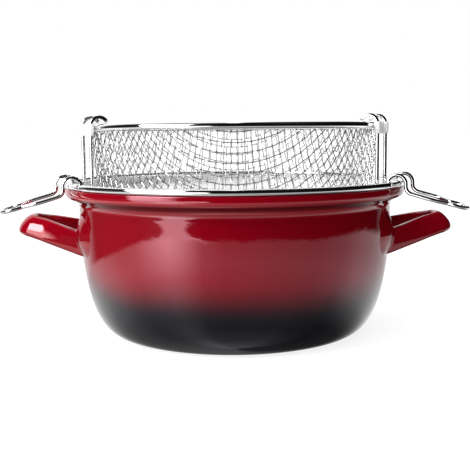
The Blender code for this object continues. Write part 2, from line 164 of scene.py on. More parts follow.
def fan_faces(ring, pole):
    """Triangles from a closed ring of point numbers to one pole."""
    after = np.roll(ring, -1)
    return np.stack([ring, after, np.full(len(ring), pole), np.full(len(ring), -1)], axis=1)


def capped_points(rings):
    """The points of rings, (rows, columns, 3), and then the middles of the first and the last ring."""
    return np.vstack([rings.reshape(-1, 3), rings[0].mean(axis=0), rings[-1].mean(axis=0)])


def capped_faces(rows, columns, first=0):
    """Faces of a tube over capped points, with each end drawn to its pole."""
    pole = first + rows * columns
    near_end = fan_faces(np.arange(columns)[::-1] + first, pole)
    far_end = fan_faces(np.arange(columns) + pole - columns, pole + 1)
    return np.vstack([grid_faces(rows, columns, first=first), near_end, far_end])


def capped_tube(name, rings):
    return mesh_from_faces(name, capped_points(rings), capped_faces(*rings.shape[:2]))


def joined_tubes(name, all_rings, label, all_marks):
    """One mesh of many capped tubes, which stay separate wires in it.

    Each ring's mark goes to its points, in a mesh attribute with the given label.
    """
    points, faces, marks, count = [], [], [], 0
    for rings, mark in zip(all_rings, all_marks):
        rows, columns, _ = rings.shape
        points.append(capped_points(rings))
        faces.append(capped_faces(rows, columns, count))
        marks += [np.repeat(mark, columns), mark[[0, -1]]]
        count += len(points[-1])
    piece = mesh_from_faces(name, np.vstack(points), np.vstack(faces))
    layer = piece.data.attributes.new(label, "FLOAT", "POINT")
    layer.data.foreach_set("value", np.concatenate(marks).astype(np.float32))
    return piece


def turned_rings(outline, steps):
    """Rings from a (radius, height) outline carried round Z: x = r cos a, y = r sin a."""
    angles = np.linspace(0, FULL_TURN, steps, endpoint=False)
    round_z = np.stack([np.cos(angles), np.sin(angles)], axis=1)
    flat = outline[:, None, :1] * round_z[None]
    heights = np.broadcast_to(outline[:, None, 1:], (len(outline), steps, 1))
    return np.concatenate([flat, heights], axis=2)


def unit(vectors):
    """The same directions, each with length 1."""
    return vectors / np.linalg.norm(vectors, axis=-1, keepdims=True)


def turn_frames(path):
    """Two sideways directions at each point of a path, which don't twist along it.

    Sideways starts as tangent x a skew direction. The turn between one such frame and the next,
    beyond what the tangent itself turns, is summed along the path and taken off again.
    """
    tangents = unit(np.gradient(path, axis=0))
    side = unit(np.cross(tangents, [0.37, 0.61, 0.70]))
    other = np.cross(tangents, side)
    start, stop = tangents[:-1], tangents[1:]
    axis = np.cross(start, stop)
    dots = np.einsum("ij,ij->i", start, stop)[:, None]
    carried = side[:-1] * dots + np.cross(axis, side[:-1])
    carried += axis * np.einsum("ij,ij->i", axis, side[:-1])[:, None] / (1 + dots)
    twist = np.arctan2(
        np.einsum("ij,ij->i", carried, other[1:]), np.einsum("ij,ij->i", carried, side[1:])
    )
    angle = np.concatenate([[0], np.cumsum(twist)])[:, None]
    return side * np.cos(angle) + other * np.sin(angle), other * np.cos(angle) - side * np.sin(angle)


def circles(side, other, sides):
    """A unit circle in the plane of each pair of directions."""
    angles = np.linspace(0, FULL_TURN, sides, endpoint=False)[None, :, None]
    return side[:, None] * np.cos(angles) + other[:, None] * np.sin(angles)


def wire_rings(path, radius, sides):
    """Round wire about a path, with each end rounded over three more rings."""
    swell = np.array([0.25, 0.7, 0.95])
    beyond = radius * np.sqrt(1 - swell[:, None] ** 2)
    lead = path[0] + unit(path[0] - path[1]) * beyond
    tail = path[-1] + unit(path[-1] - path[-2]) * beyond[::-1]
    widths = radius * np.concatenate([swell, np.ones(len(path)), swell[::-1]])
    path = np.vstack([lead, path, tail])
    return path[:, None] + circles(*turn_frames(path), sides) * widths[:, None, None]


def arc(centre, radius, start, stop, steps):
    """Points of a circle's arc from one angle to another, both included."""
    angles = np.linspace(start, stop, steps + 1)
    return np.stack([centre[0] + radius * np.cos(angles), centre[1] + radius * np.sin(angles)], axis=1)


def rounded(points, radii, steps):
    """An open (radius, height) line with each inner corner replaced by a quadratic curve.

    The curve starts and ends at the corner's radius along its two sides, and the corner pulls it.
    """
    line = np.asarray(points, float)
    made = [line[:1]]
    share = np.linspace(0, 1, steps + 1)[:, None]
    for before, corner, after, radius in zip(line, line[1:], line[2:], radii):
        sides = (before - corner, after - corner)
        start, stop = (corner + unit(side) * min(radius, np.linalg.norm(side) / 2) for side in sides)
        made.append((1 - share) ** 2 * start + 2 * share * (1 - share) * corner + share**2 * stop)
    made.append(line[-1:])
    return np.vstack(made)


def smooth_through(points, steps):
    """Catmull-Rom curve through the points, evaluated for all its spans at once."""
    line = np.asarray(points, float)
    padded = np.vstack([2 * line[0] - line[1], line, 2 * line[-1] - line[-2]])
    a, b, c, d = (padded[k : len(padded) - 3 + k, None] for k in range(4))
    share = np.linspace(0, 1, steps, endpoint=False)[None, :, None]
    curve = 2 * b + (c - a) * share + (2 * a - 5 * b + 4 * c - d) * share**2
    curve = 0.5 * (curve + (3 * b - a - 3 * c + d) * share**3)
    return np.vstack([curve.reshape(-1, line.shape[1]), line[-1:]])


def offset_line(line, distance):
    """A (radius, height) line moved to its left by a distance, mitred at each point."""
    runs = np.diff(line, axis=0)
    sides = unit(np.stack([-runs[:, 1], runs[:, 0]], axis=1))
    mitre = np.vstack([sides[:1], sides]) + np.vstack([sides, sides[-1:]])
    mitre *= 2 / (mitre**2).sum(axis=1)[:, None]
    return line + distance * mitre


def finish_piece(piece, body, materials, replaced=()):
    """Gives a piece its materials and its body, and hides the solids that it stands for."""
    for material in materials:
        piece.data.materials.append(material)
    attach(piece, body)
    if replaced:
        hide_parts(*replaced)


# Materials


class Nodes:
    """Adds and joins nodes in one tree, left to right."""

    def __init__(self, tree):
        self.tree = tree
        self.count = 0

    def add(self, kind, inputs=(), **settings):
        node = self.tree.nodes.new(kind)
        node.location = (180 * self.count - 1200, -60 * (self.count % 5))
        self.count += 1
        for key, value in settings.items():
            setattr(node, key, value)
        self.feed(node, dict(inputs))
        return node

    def feed(self, node, inputs):
        """Sets a node's inputs, and links those whose value is an output of another node."""
        for socket, value in inputs.items():
            if isinstance(value, bpy.types.NodeSocket):
                self.tree.links.new(value, node.inputs[socket])
            else:
                node.inputs[socket].default_value = value

    def place(self):
        return self.add("ShaderNodeTexCoord").outputs["Object"]

    def noise(self, place, scale, detail, **more):
        inputs = {"Vector": place, "Scale": scale, "Detail": detail, **more}
        return self.add("ShaderNodeTexNoise", inputs).outputs["Fac"]

    def ramp(self, value, stops):
        """Greys over a value, from (value, grey) stops."""
        node = self.add("ShaderNodeValToRGB", {"Fac": value})
        ramp = node.color_ramp.elements
        while len(ramp) < len(stops):
            ramp.new(0.5)
        for element, (place, grey) in zip(ramp, stops):
            element.position = place
            element.color = (grey, grey, grey, 1)
        return node.outputs["Color"]

    def span(self, value, start, stop, low=0.0, high=1.0, step="LINEAR"):
        """Low up to start, high from stop on, and a step of the given kind between them."""
        inputs = {"Value": value, "From Min": start, "From Max": stop, "To Min": low, "To Max": high}
        return self.add("ShaderNodeMapRange", inputs, interpolation_type=step).outputs[0]

    def math(self, operation, *values, clamp=False):
        inputs = dict(enumerate(values))
        return self.add("ShaderNodeMath", inputs, operation=operation, use_clamp=clamp).outputs[0]

    def over(self, value, threshold, gain):
        """How far a value is over a threshold, times a gain, kept between 0 and 1."""
        return self.math("MULTIPLY", self.math("SUBTRACT", value, threshold), gain, clamp=True)

    def mix(self, share, first, second):
        """The first colour where the share is 0, and the second where it is 1."""
        colours = [part if isinstance(part, bpy.types.NodeSocket) else (*part, 1) for part in (first, second)]
        inputs = {0: share, 6: colours[0], 7: colours[1]}
        return self.add("ShaderNodeMix", inputs, data_type="RGBA").outputs[2]

    def scale(self, colour, factor):
        return self.add("ShaderNodeVectorMath", {0: colour, "Scale": factor}, operation="SCALE").outputs[0]

    def bump(self, height, distance):
        inputs = {"Strength": 1.0, "Distance": distance, "Height": height}
        return self.add("ShaderNodeBump", inputs).outputs["Normal"]


def new_group(name, inputs, outputs):
    """An empty node group of number sockets: inputs with their defaults, and the names of its outputs."""
    group = bpy.data.node_groups.new(name, "ShaderNodeTree")
    for label, default in inputs.items():
        socket = group.interface.new_socket(label, in_out="INPUT", socket_type="NodeSocketFloat")
        socket.default_value = default
    for label in outputs:
        group.interface.new_socket(label, in_out="OUTPUT", socket_type="NodeSocketFloat")
    nodes = Nodes(group)
    return group, nodes, nodes.add("NodeGroupInput").outputs, nodes.add("NodeGroupOutput")


def enamel_skin_group():
    """Fired enamel: slow ripples and fine orange peel as a height, and pin-prick specks as a mask."""
    group, nodes, given, out = new_group(
        "fired enamel skin", {"Ripple Scale": 30.0, "Speck Scale": 900.0}, ("Height", "Specks")
    )
    place = nodes.place()
    slow = nodes.noise(place, given["Ripple Scale"], 2.0, Roughness=0.45)
    fine_scale = nodes.math("MULTIPLY", given["Ripple Scale"], 9.0)
    fine = nodes.noise(place, fine_scale, 2.0, Lacunarity=2.6)
    height = nodes.math("ADD", slow, nodes.math("MULTIPLY", fine, 0.13))
    specks = nodes.noise(place, given["Speck Scale"], 0.0)
    nodes.feed(out, {"Height": height, "Specks": nodes.over(specks, 0.69, 14.0)})
    return group


def drawn_metal_group():
    """Drawn or rolled metal: cloudy tarnish as a mask, and fine draw marks as a height."""
    group, nodes, given, out = new_group(
        "drawn metal", {"Cloud Scale": 60.0, "Mark Scale": 1500.0}, ("Tarnish", "Height")
    )
    place = nodes.place()
    cloud = nodes.noise(place, given["Cloud Scale"], 3.0, Roughness=0.6)
    marks = nodes.noise(place, given["Mark Scale"], 1.0)
    nodes.feed(out, {"Tarnish": nodes.over(cloud, 0.42, 3.2), "Height": marks})
    return group


def shader_material(name):
    """A new material in place of any of that name, with its node maker and its shader."""
    material = bpy.data.materials.get(name)
    if material:
        bpy.data.materials.remove(material)
    material = bpy.data.materials.new(name)
    material.use_nodes = True
    shader = material.node_tree.nodes["Principled BSDF"]
    return material, Nodes(material.node_tree), shader


def enamel_skin(nodes, shader, ripple_scale, ripple_height, speck_scale=900.0):
    """Places the enamel group, feeds its height to the shader's normal and gives back its specks."""
    group = bpy.data.node_groups.get("fired enamel skin") or enamel_skin_group()
    skin = nodes.add("ShaderNodeGroup", node_tree=group)
    nodes.feed(skin, {"Ripple Scale": ripple_scale, "Speck Scale": speck_scale})
    nodes.feed(shader, {"Normal": nodes.bump(skin.outputs["Height"], ripple_height)})
    return skin.outputs["Specks"]


def faded_enamel(name, red, dark, fade_middle, fade_width):
    """Gloss enamel sprayed red over near black. Its share of red rises with height in a smooth step.

    A fine grain breaks up the step, as the spray's droplets do. On the curves under the collar,
    painted highlight lightens the colour and the reflections, and in the groove between them
    painted shade darkens both.
    """
    material, nodes, shader = shader_material(name)
    place = nodes.place()
    level = nodes.add("ShaderNodeSeparateXYZ", {0: place}).outputs["Z"]
    spray = nodes.noise(place, 1400.0, 1.0)
    drift = nodes.noise(place, 9.0, 2.0)
    sway = fade_width / 2
    grain = nodes.math("MULTIPLY_ADD", spray, sway, -sway / 2)
    wave = nodes.math("MULTIPLY_ADD", drift, sway, -sway / 2)
    height = nodes.math("ADD", nodes.math("ADD", level, grain), wave)
    share = nodes.span(height, fade_middle - fade_width, fade_middle + fade_width, step="SMOOTHERSTEP")
    specks = enamel_skin(nodes, shader, 26.0, 0.16 * MM)
    # Painted shade: darkest at the groove's height, fading over a few millimetres each way
    off_groove = nodes.math("ABSOLUTE", nodes.math("SUBTRACT", level, GROOVE_HEIGHT))
    groove_painted_shade = nodes.span(off_groove, 0.7 * MM, 3.6 * MM, 1.0, 0.0, "SMOOTHSTEP")
    # Painted highlight: a band over the curves under the collar, found by height
    rim_share = nodes.math("DIVIDE", level, POT_RIM_HEIGHT)
    painted_highlight_band = nodes.ramp(rim_share, ((0.836, 0), (0.856, 1), (0.933, 1), (0.948, 0)))
    colour = nodes.mix(share, dark, red)
    colour = nodes.mix(nodes.math("MULTIPLY", specks, 0.012), colour, (0.45, 0.2, 0.2))
    # Painted highlight: lighter colour on the curves under the collar
    colour = nodes.mix(painted_highlight_band, colour, (0.3, 0.01, 0.016))
    # Painted shade: darker colour in the groove under the collar
    colour = nodes.mix(nodes.math("MULTIPLY", groove_painted_shade, 0.72), colour, (0.03, 0.001, 0.002))
    tint = nodes.mix(share, (0.52, 0.53, 0.56), (1.0, 0.55, 0.64))
    # Painted highlight: brighter reflections on the curves under the collar
    tint = nodes.mix(painted_highlight_band, tint, (1.0, 0.9, 0.95))
    # Painted shade: darker reflections in the groove under the collar
    tint = nodes.mix(nodes.math("MULTIPLY", groove_painted_shade, 0.75), tint, (0.1, 0.06, 0.06))
    nodes.feed(shader, {"Base Color": colour, "Specular Tint": tint, "Roughness": 0.035, "IOR": 1.76})
    return material


def plain_enamel(name, colour, speck_colour, speck_share, roughness=0.06, index=1.45, tint=(1, 1, 1)):
    """Gloss enamel of one colour with scattered fine specks."""
    material, nodes, shader = shader_material(name)
    specks = enamel_skin(nodes, shader, 38.0, 0.1 * MM, 520.0)
    mixed = nodes.mix(nodes.math("MULTIPLY", specks, speck_share), colour, speck_colour)
    nodes.feed(shader, {"Base Color": mixed, "Specular Tint": (*tint, 1)})
    nodes.feed(shader, {"Roughness": roughness, "IOR": index})
    return material


def bright_metal(name, colour, tarnished, roughness, mark_height, cloud_scale=60.0, painted_shade_attribute="", metallic=1.0):
    """Bright metal whose tarnish shifts its colour and its roughness, a pair, with fine draw marks.

    Where a mesh attribute is named, painted shade darkens the metal as that attribute's cube.
    """
    material, nodes, shader = shader_material(name)
    group = bpy.data.node_groups.get("drawn metal") or drawn_metal_group()
    drawn = nodes.add("ShaderNodeGroup", node_tree=group)
    nodes.feed(drawn, {"Cloud Scale": cloud_scale})
    tarnish = drawn.outputs["Tarnish"]
    mixed = nodes.mix(tarnish, colour, tarnished)
    if painted_shade_attribute:
        # Painted shade: the metal darkens where the named attribute is high
        near = nodes.add("ShaderNodeAttribute", attribute_name=painted_shade_attribute).outputs["Fac"]
        mixed = nodes.mix(nodes.math("POWER", near, 3.0), mixed, (0.2, 0.2, 0.2))
    rough = nodes.span(tarnish, 0.0, 1.0, *roughness)
    normal = nodes.bump(drawn.outputs["Height"], mark_height)
    nodes.feed(shader, {"Base Color": mixed, "Roughness": rough, "Normal": normal, "Metallic": metallic})
    return material


# The pot


def pot_outer_line():
    """Outside of the pot from its base's edge to the top of its bead.

    The belly's curve runs into a cove, a slanting underside and then a round bead.
    """
    heights = NECK_HEIGHT * np.linspace(0, 1, 64) ** 1.8
    belly = np.stack([wall_radius(heights), heights], axis=1)
    tilt = math.radians(66)
    cove = arc((NECK_RADIUS + COVE, NECK_HEIGHT), COVE, math.pi, math.pi - tilt, 8)
    bead = arc((COLLAR_RADIUS - BEAD, BEAD_HEIGHT), BEAD, -tilt, 0, 8)
    return np.vstack([belly[:-1], cove, bead])


def collar_line():
    """The collar above the bead: a face that bows in towards its top edge, and the free edge above."""
    edge, start, stop = 0.9 * MM, math.radians(9), math.radians(75)
    face_top = 119.7 * MM
    tall = face_top - BEAD_HEIGHT
    share = np.linspace(0, 1, 7)[1:-1]
    bow = math.tan(start) / 2 * tall
    face = np.stack([COLLAR_RADIUS - bow * share**2, BEAD_HEIGHT + tall * share], axis=1)
    centre = (COLLAR_RADIUS - bow - edge * math.cos(start), face_top - edge * math.sin(start))
    top = arc(centre, edge, start, stop, 6)
    free = [(POT_EDGE_RADIUS, top[-1, 1]), (POT_EDGE_RADIUS, POT_RIM_HEIGHT)]
    return np.vstack([face, top, free])


def make_enamel_pot(red, dark, fade_middle, fade_width, steps):
    """The pot's body, turned from an outline that runs from the underside's middle to the floor's.

    The underside has a raised panel inside the ring that it stands on. Faces past the middle of
    the mouth's edge get the inside enamel, except those that close the underside.
    """
    panel_height, floor_height, inner_collar = 0.8 * MM, 2.4 * MM, 119.0 * MM
    lower = pot_outer_line()
    outer = np.vstack([lower, collar_line()])
    inner_edge = POT_EDGE_RADIUS - WALL
    inner = np.vstack([offset_line(lower, WALL), [(inner_edge, inner_collar), (inner_edge, POT_RIM_HEIGHT)]])
    inner[0] = (BASE_RADIUS, WALL)
    panel = [(60 * MM, panel_height), (83.2 * MM, panel_height), (84.2 * MM, 0.0), (90 * MM, 0.0)]
    floor = [(86 * MM, WALL), (83 * MM, floor_height), (60 * MM, floor_height)]
    under = np.vstack([
        [(20 * MM, panel_height), (40 * MM, panel_height)], rounded(panel, (0.6 * MM, 0.5 * MM), 4), outer,
    ])
    edge = arc((POT_EDGE_RADIUS - WALL / 2, POT_RIM_HEIGHT), WALL / 2, 0, math.pi, 6)[1:-1]
    middle = [(40 * MM, floor_height), (20 * MM, floor_height)]
    outline = np.vstack([under, edge, inner[::-1], rounded(floor, [1.5 * MM], 4), middle])
    pot = capped_tube("enamel_pot", turned_rings(outline, steps))
    outside = faded_enamel("red enamel fading to black", red, dark, fade_middle, fade_width)
    inside = plain_enamel("pale grey inside enamel", (0.86, 0.86, 0.85), (0.2, 0.2, 0.21), 0.8)
    finish_piece(pot, "pot", [outside, inside], ["pot_body"])
    bands = np.arange(len(pot.data.polygons)) // steps
    is_inside = (bands >= len(under) + len(edge) // 2) & (bands != len(outline) - 1)
    pot.data.polygons.foreach_set("material_index", is_inside.astype(np.int32))


def signed_power(values, power):
    return np.sign(values) * np.abs(values) ** power


def make_rolled_rim(name, radius, height, tube, tall, power, body, material, replaced, steps):
    """Strip rolled over an edge, with its two lips turned in below.

    Its section is a superellipse: tube times cos^power out and tall times sin^power up.
    """
    sheet = 0.35 * MM
    angles = np.linspace(math.radians(-72), math.radians(252), 48)
    out, up = signed_power(np.cos(angles), power), signed_power(np.sin(angles), power)
    middle = np.array([radius, height])
    section = middle + np.stack([tube * out, tall * up], axis=1)
    inner = middle + (section[::-1] - middle) * (1 - sheet / tube)
    rings = turned_rings(np.vstack([section, inner]), steps)
    rim = mesh_from_faces(name, rings, grid_faces(*rings.shape[:2], wrap_rows=True))
    finish_piece(rim, body, [material], replaced)


# The handles


def wall_radius(height):
    """The pot's outer radius at a height: a quarter superellipse from the base's edge up to the neck."""
    below = np.clip((NECK_HEIGHT - height) / NECK_HEIGHT, 0, 1)
    swell = (1 - below**BELLY_FULLNESS) ** (1 / BELLY_FULLNESS)
    return BASE_RADIUS + (NECK_RADIUS - BASE_RADIUS) * swell


def on_wall(along, height, proud):
    """Points at a way round the wall, a height and a distance out from the wall."""
    radius = wall_radius(height)
    angle = along / radius
    return np.stack([(radius + proud) * np.cos(angle), (radius + proud) * np.sin(angle), height], axis=-1)


def on_boss(along, height):
    """Points on the low dome that the bar springs from, at a way round the wall and a height."""
    across, up = (along - BOSS_ALONG) / BOSS_HALF_WIDTH, (height - BOSS_HEIGHT) / BOSS_HALF_DEPTH
    inside = np.maximum(1 - across**2 - up**2, 0)
    return on_wall(along, height, BOSS_BULGE * inside**2 / (inside + BOSS_SOFTNESS) - BOSS_SINK)


def bar_section(share, angles):
    """Sideways and upward parts of the bar's section, at a share of the way from wall to end.

    It goes from a squared oval to a plainer one. It also leans out more and more, so that its
    top turns in.
    """
    power = BAR_ROOT_POWER + (BAR_END_POWER - BAR_ROOT_POWER) * share**2
    lean = BAR_END_LEAN * share**2
    out = signed_power(np.cos(angles), power) * BAR_THICK / 2
    up = signed_power(np.sin(angles), power) * BAR_DEPTH / 2
    return out * np.cos(lean) - up * np.sin(lean), up * np.cos(lean) + out * np.sin(lean)


def handle_half(columns):
    """Rings of half the right handle, from the back of its boss to the middle of the loop.

    The bar is swept in plan along a straight run and an arc, and it rises on its way. Its lines
    start where each of them meets the boss, with a small fillet there.
    """
    start_radius, spread, end_spread, corner = (np.array([127.8, 41.0, 16.0, 14.0]) * MM).tolist()
    root_height, climb, clear, fillet = (np.array([75.9, 13.6, 11.0, 1.1]) * MM).tolist()
    angles = np.linspace(0, FULL_TURN, columns, endpoint=False)
    end = HANDLE_REACH - bar_section(1.0, angles)[0].max()
    wall = math.sqrt(start_radius**2 - spread**2)
    turn = math.atan2(spread - end_spread, end - corner - wall)
    heading = np.array([1, -math.tan(turn)])

    def bar_rings(places, sideways):
        share = np.clip((places[..., 0] - wall) / (end - wall), 0, 1)
        shift, rise = bar_section(share, angles)
        rise = root_height + climb * share + rise
        return np.concatenate([places + sideways * shift[..., None], rise[..., None]], axis=-1)

    def from_root(way):
        return np.array([wall, spread]) + way[..., None] * heading

    straight = np.linspace(clear, end - corner - wall, 9)[:-1]
    bend = arc((end - corner, end_spread - corner), corner, math.pi / 2 - turn, 0, 14)
    plan = np.vstack([from_root(straight), bend, [[end, 0]]])
    runs = np.gradient(plan, axis=0)
    runs[-1] = (0, -1)
    runs = unit(runs)
    across = np.stack([-runs[:, 1], runs[:, 0]], axis=1)
    way = np.zeros(columns)
    for _ in range(12):
        foot = bar_rings(from_root(way), across[0])
        foot_along = np.arctan2(foot[:, 1], foot[:, 0]) * wall_radius(foot[:, 2])
        met = on_boss(foot_along, foot[:, 2])
        way += np.hypot(met[:, 0], met[:, 1]) - np.hypot(foot[:, 0], foot[:, 1])
    foot_flat = np.stack([foot_along, foot[:, 2]], axis=1)
    near_foot = foot_flat + unit(foot_flat - foot_flat.mean(axis=0)) * fillet
    middle = np.array([BOSS_ALONG, BOSS_HEIGHT])
    size = np.array([BOSS_HALF_WIDTH, BOSS_HALF_DEPTH])
    outline = middle + size * np.stack([np.cos(angles), np.sin(angles)], axis=1)
    back = [
        on_wall(*(middle + share * (outline - middle)).T, -2 * BOSS_SINK) for share in (0.02, 0.35, 0.7, 1.0)
    ]
    inward = np.concatenate([[0, 0.012], np.linspace(0.03, 1, 14)])[:, None, None]
    dome = on_boss(*np.moveaxis(outline + inward * (near_foot - outline), -1, 0))
    leaving = bar_rings(from_root(way + fillet), across[0])
    soft = [dome[-1] * k**2 + 2 * k * (1 - k) * foot + leaving * (1 - k) ** 2 for k in (0.75, 0.5, 0.25)]
    ways = [(1 - k) * (way + fillet) + k * clear for k in (0.0, 0.33, 0.67)]
    bar = bar_rings(from_root(np.array(ways)), across[0])
    loop = bar_rings(plan[:, None], across[:, None])
    return np.concatenate([back, dome, soft, bar, loop])


def both_sides(rings, turn=0.0):
    """Rings for the right side, turned towards the front by an angle, and their mirror for the left."""
    angles = {"right": -turn, "left": math.pi + turn}
    return {side: rings @ np.array(Matrix.Rotation(angle, 3, "Z")).T for side, angle in angles.items()}


def make_handles(colour, columns):
    specks, tint = (0.5, 0.15, 0.16), (1.0, 0.52, 0.54)
    enamel = plain_enamel("red handle enamel", colour, specks, 0.01, 0.035, 1.76, tint)
    half = handle_half(columns)
    rings = np.concatenate([half, half[-2::-1] * np.array([1, -1, 1])])
    for side, placed in both_sides(rings).items():
        piece = capped_tube(side + "_loop_handle", placed)
        finish_piece(piece, "pot", [enamel], [side + "_handle"])


# The basket


def pressed_sheet(across, along):
    """Where points of the flat mesh sheet lie in the basket, and the outward direction there.

    A point keeps its direction from the centre. Its distance becomes the way along the
    meridian: the flat floor, an arc of the corner, then the tapered wall.
    """
    taper, corner, depth = math.radians(8.0), 20.0 * MM, 94.0 * MM
    turn = math.pi / 2 - taper
    floor_height = BASKET_RIM_HEIGHT - depth
    rise = BASKET_RIM_HEIGHT - SEAT_GAP - floor_height - corner * (1 - math.cos(turn))
    wall = rise / math.cos(taper)
    floor = BASKET_RIM_RADIUS - wall * math.sin(taper) - corner * math.sin(turn)
    distance = np.hypot(across, along)
    slope = np.clip((distance - floor) / corner, 0, turn)
    way = np.maximum(distance - floor - corner * turn, 0)
    radius = np.minimum(distance, floor) + corner * np.sin(slope) + way * math.cos(turn)
    height = floor_height + corner * (1 - np.cos(slope)) + way * math.sin(turn)
    side = np.stack([across, along], axis=-1) / np.maximum(distance, 1e-9)[..., None]
    point = np.concatenate([side * radius[..., None], height[..., None]], axis=-1)
    normal = np.concatenate([side * np.sin(slope)[..., None], -np.cos(slope)[..., None]], axis=-1)
    return point, normal, floor + corner * turn + wall


def woven_wires(count, radius, samples, swap):
    """Rings of one family of parallel wires, and how near each ring is to a crossing, up to 1.

    Each wire rises and falls as a cosine from crossing to crossing, so that it passes over one
    wire of the other family and under the next.
    """
    outward, sides = 0.7 * MM, 6
    edge = pressed_sheet(np.zeros(1), np.zeros(1))[2]
    pitch = 2 * edge / count
    places = (np.arange(count) - (count - 1) / 2) * pitch
    rings, marks = [], []
    for number, place in enumerate(places):
        reach = math.sqrt(edge**2 - place**2)
        way = np.linspace(-reach, reach, max(int(2 * reach / pitch * samples), 4))
        fixed = np.full(len(way), place)
        point, normal, _ = pressed_sheet(way, fixed) if swap else pressed_sheet(fixed, way)
        sign = (-1) ** (number + int(swap))
        wave = np.cos(math.pi * (way - places[0]) / pitch)
        path = point + normal * (outward + wave * sign * radius)[:, None]
        tangent = unit(np.gradient(path, axis=0))
        side = unit(np.cross(tangent, normal))
        rings.append(path[:, None] + circles(side, np.cross(side, tangent), sides) * radius)
        marks.append(wave**2)
    return rings, marks


def make_basket_wires(count, radius, samples):
    # Painted shade: the wires darken towards each crossing, through their crossing attribute
    metal = bright_metal(
        "tinned mesh wire", (0.8, 0.8, 0.81), (0.5, 0.5, 0.5), (0.16, 0.34), 0.004 * MM, 90.0, "crossing"
    )
    for direction, replaced in (("across", ["basket_mesh"]), ("along", [])):
        rings, marks = woven_wires(count, radius, samples, direction == "across")
        wires = joined_tubes("basket_wires_" + direction, rings, "crossing", marks)
        finish_piece(wires, "basket", [metal], replaced)


# The hangers and their clips


def hanger_path(steps):
    """The bent wire's centre line: one leg in side view, the grip in plan, and the leg mirrored back.

    From the top, the leg has a hook over the basket's rim, a turn at its foot, an arch over the
    pot's rim and a bend out into the grip, which slopes down. The arch's centre stays a clearance
    away from the centre of the rim's tube.
    """
    hook, foot, arch, bend = (np.array([6.6, 4.1, 7.0, 6.0]) * MM).tolist()
    hook_lift, foot_height, clearance = (np.array([1.44, 117.1, 2.2]) * MM).tolist()
    grip_height, grip_length, slope = 117.2 * MM, 44.3 * MM, math.radians(15.2)
    top = arc((LEG_OUT - hook, BASKET_RIM_HEIGHT + hook_lift), hook, math.radians(145), 0, 3 * steps)
    straight = np.stack([np.full(9, LEG_OUT), np.linspace(top[-1, 1], foot_height, 11)[1:-1]], axis=1)
    turn = arc((LEG_OUT + foot, foot_height), foot, math.pi, FULL_TURN, 2 * steps)
    rise = LEG_OUT + 2 * foot
    rim_out = math.sqrt(POT_RIM_RADIUS**2 - LEG_SPREAD**2)
    drop = math.sqrt(max(clearance**2 - (rise + arch - rim_out) ** 2, 0))
    over = arc((rise + arch, POT_RIM_HEIGHT - drop), arch, math.pi, 0, 3 * steps)
    root = rise + 2 * arch
    lift = math.cos(slope) - (1 - math.sin(slope)) * math.tan(slope)
    lower = arc((root + bend, grip_height + bend * lift), bend, math.pi, 1.5 * math.pi - slope, steps)
    side_view = np.vstack([top, straight, turn, over, lower])
    rows = np.stack([side_view[:, 0], np.full(len(side_view), LEG_SPREAD), side_view[:, 1]], axis=1)
    start = rows[-1]
    length_share, spread_share = np.array(GRIP_PLAN).T
    ways = root + grip_length * length_share
    heights = start[2] - (ways - start[0]) * math.tan(slope)
    half = np.vstack([[start], np.stack([ways, LEG_SPREAD * spread_share, heights], axis=1)])
    mirror = np.array([1, -1, 1])
    loop = smooth_through(np.vstack([half, half[-2::-1] * mirror]), steps)
    return np.vstack([rows[:-1], loop, rows[-2::-1] * mirror])


def make_hangers(radius, steps=8, sides=16):
    metal = bright_metal("bright hanger wire", (0.8, 0.8, 0.81), (0.62, 0.62, 0.63), (0.07, 0.17), 0.002 * MM)
    rings = wire_rings(hanger_path(steps), radius, sides)
    for side, placed in both_sides(rings, HANGER_TURN).items():
        name = side + "_hanger"
        finish_piece(capped_tube(name + "_wire", placed), name, [metal], [name])


def clip_rings():
    """The strap's sheet section carried along its centre line in plan.

    The line is straight behind the basket's rim, and at each end it curls round a leg in most
    of a circle.
    """
    sheet, bore, soft, curled = 0.6 * MM, 1.85 * MM, 0.22 * MM, math.radians(318)
    mid = bore + sheet / 2
    inner_face = BASKET_RIM_HIGH.x + SEAT_GAP + sheet / 2
    straight_end = LEG_SPREAD - math.sqrt(mid**2 - (LEG_OUT - inner_face) ** 2)
    begin = math.atan2(straight_end - LEG_SPREAD, inner_face - LEG_OUT)
    curl = arc((LEG_OUT, LEG_SPREAD), mid, begin, begin + curled, 40)
    strap = np.stack([np.full(12, inner_face), np.linspace(0, straight_end, 13)[:-1]], axis=1)
    half = np.vstack([strap, curl])
    line = np.vstack([half[::-1] * np.array([1, -1]), half[1:]])
    runs = unit(np.gradient(line, axis=0))
    across = np.stack([runs[:, 1], -runs[:, 0]], axis=1)
    low, high = (corner.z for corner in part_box("right_clip"))
    x, z, quarter = sheet / 2 - soft, (high - low) / 2 - soft, math.pi / 2
    corners = enumerate([(x, z), (-x, z), (-x, -z), (x, -z)])
    section = np.vstack([arc(corner, soft, k * quarter, (k + 1) * quarter, 3) for k, corner in corners])
    flat = line[:, None] + across[:, None] * section[None, :, :1]
    heights = np.broadcast_to(section[None, :, 1:] + (low + high) / 2, (len(line), len(section), 1))
    return np.concatenate([flat, heights], axis=2)


def make_clips():
    metal = bright_metal(
        "dull zinc clip", (0.93, 0.94, 0.94), (0.8, 0.81, 0.81), (0.4, 0.5), 0.004 * MM, metallic=0.0
    )
    for side, placed in both_sides(clip_rings(), HANGER_TURN).items():
        name = side + "_clip"
        finish_piece(capped_tube(name + "_strap", placed), "basket", [metal], [name])


# The stage


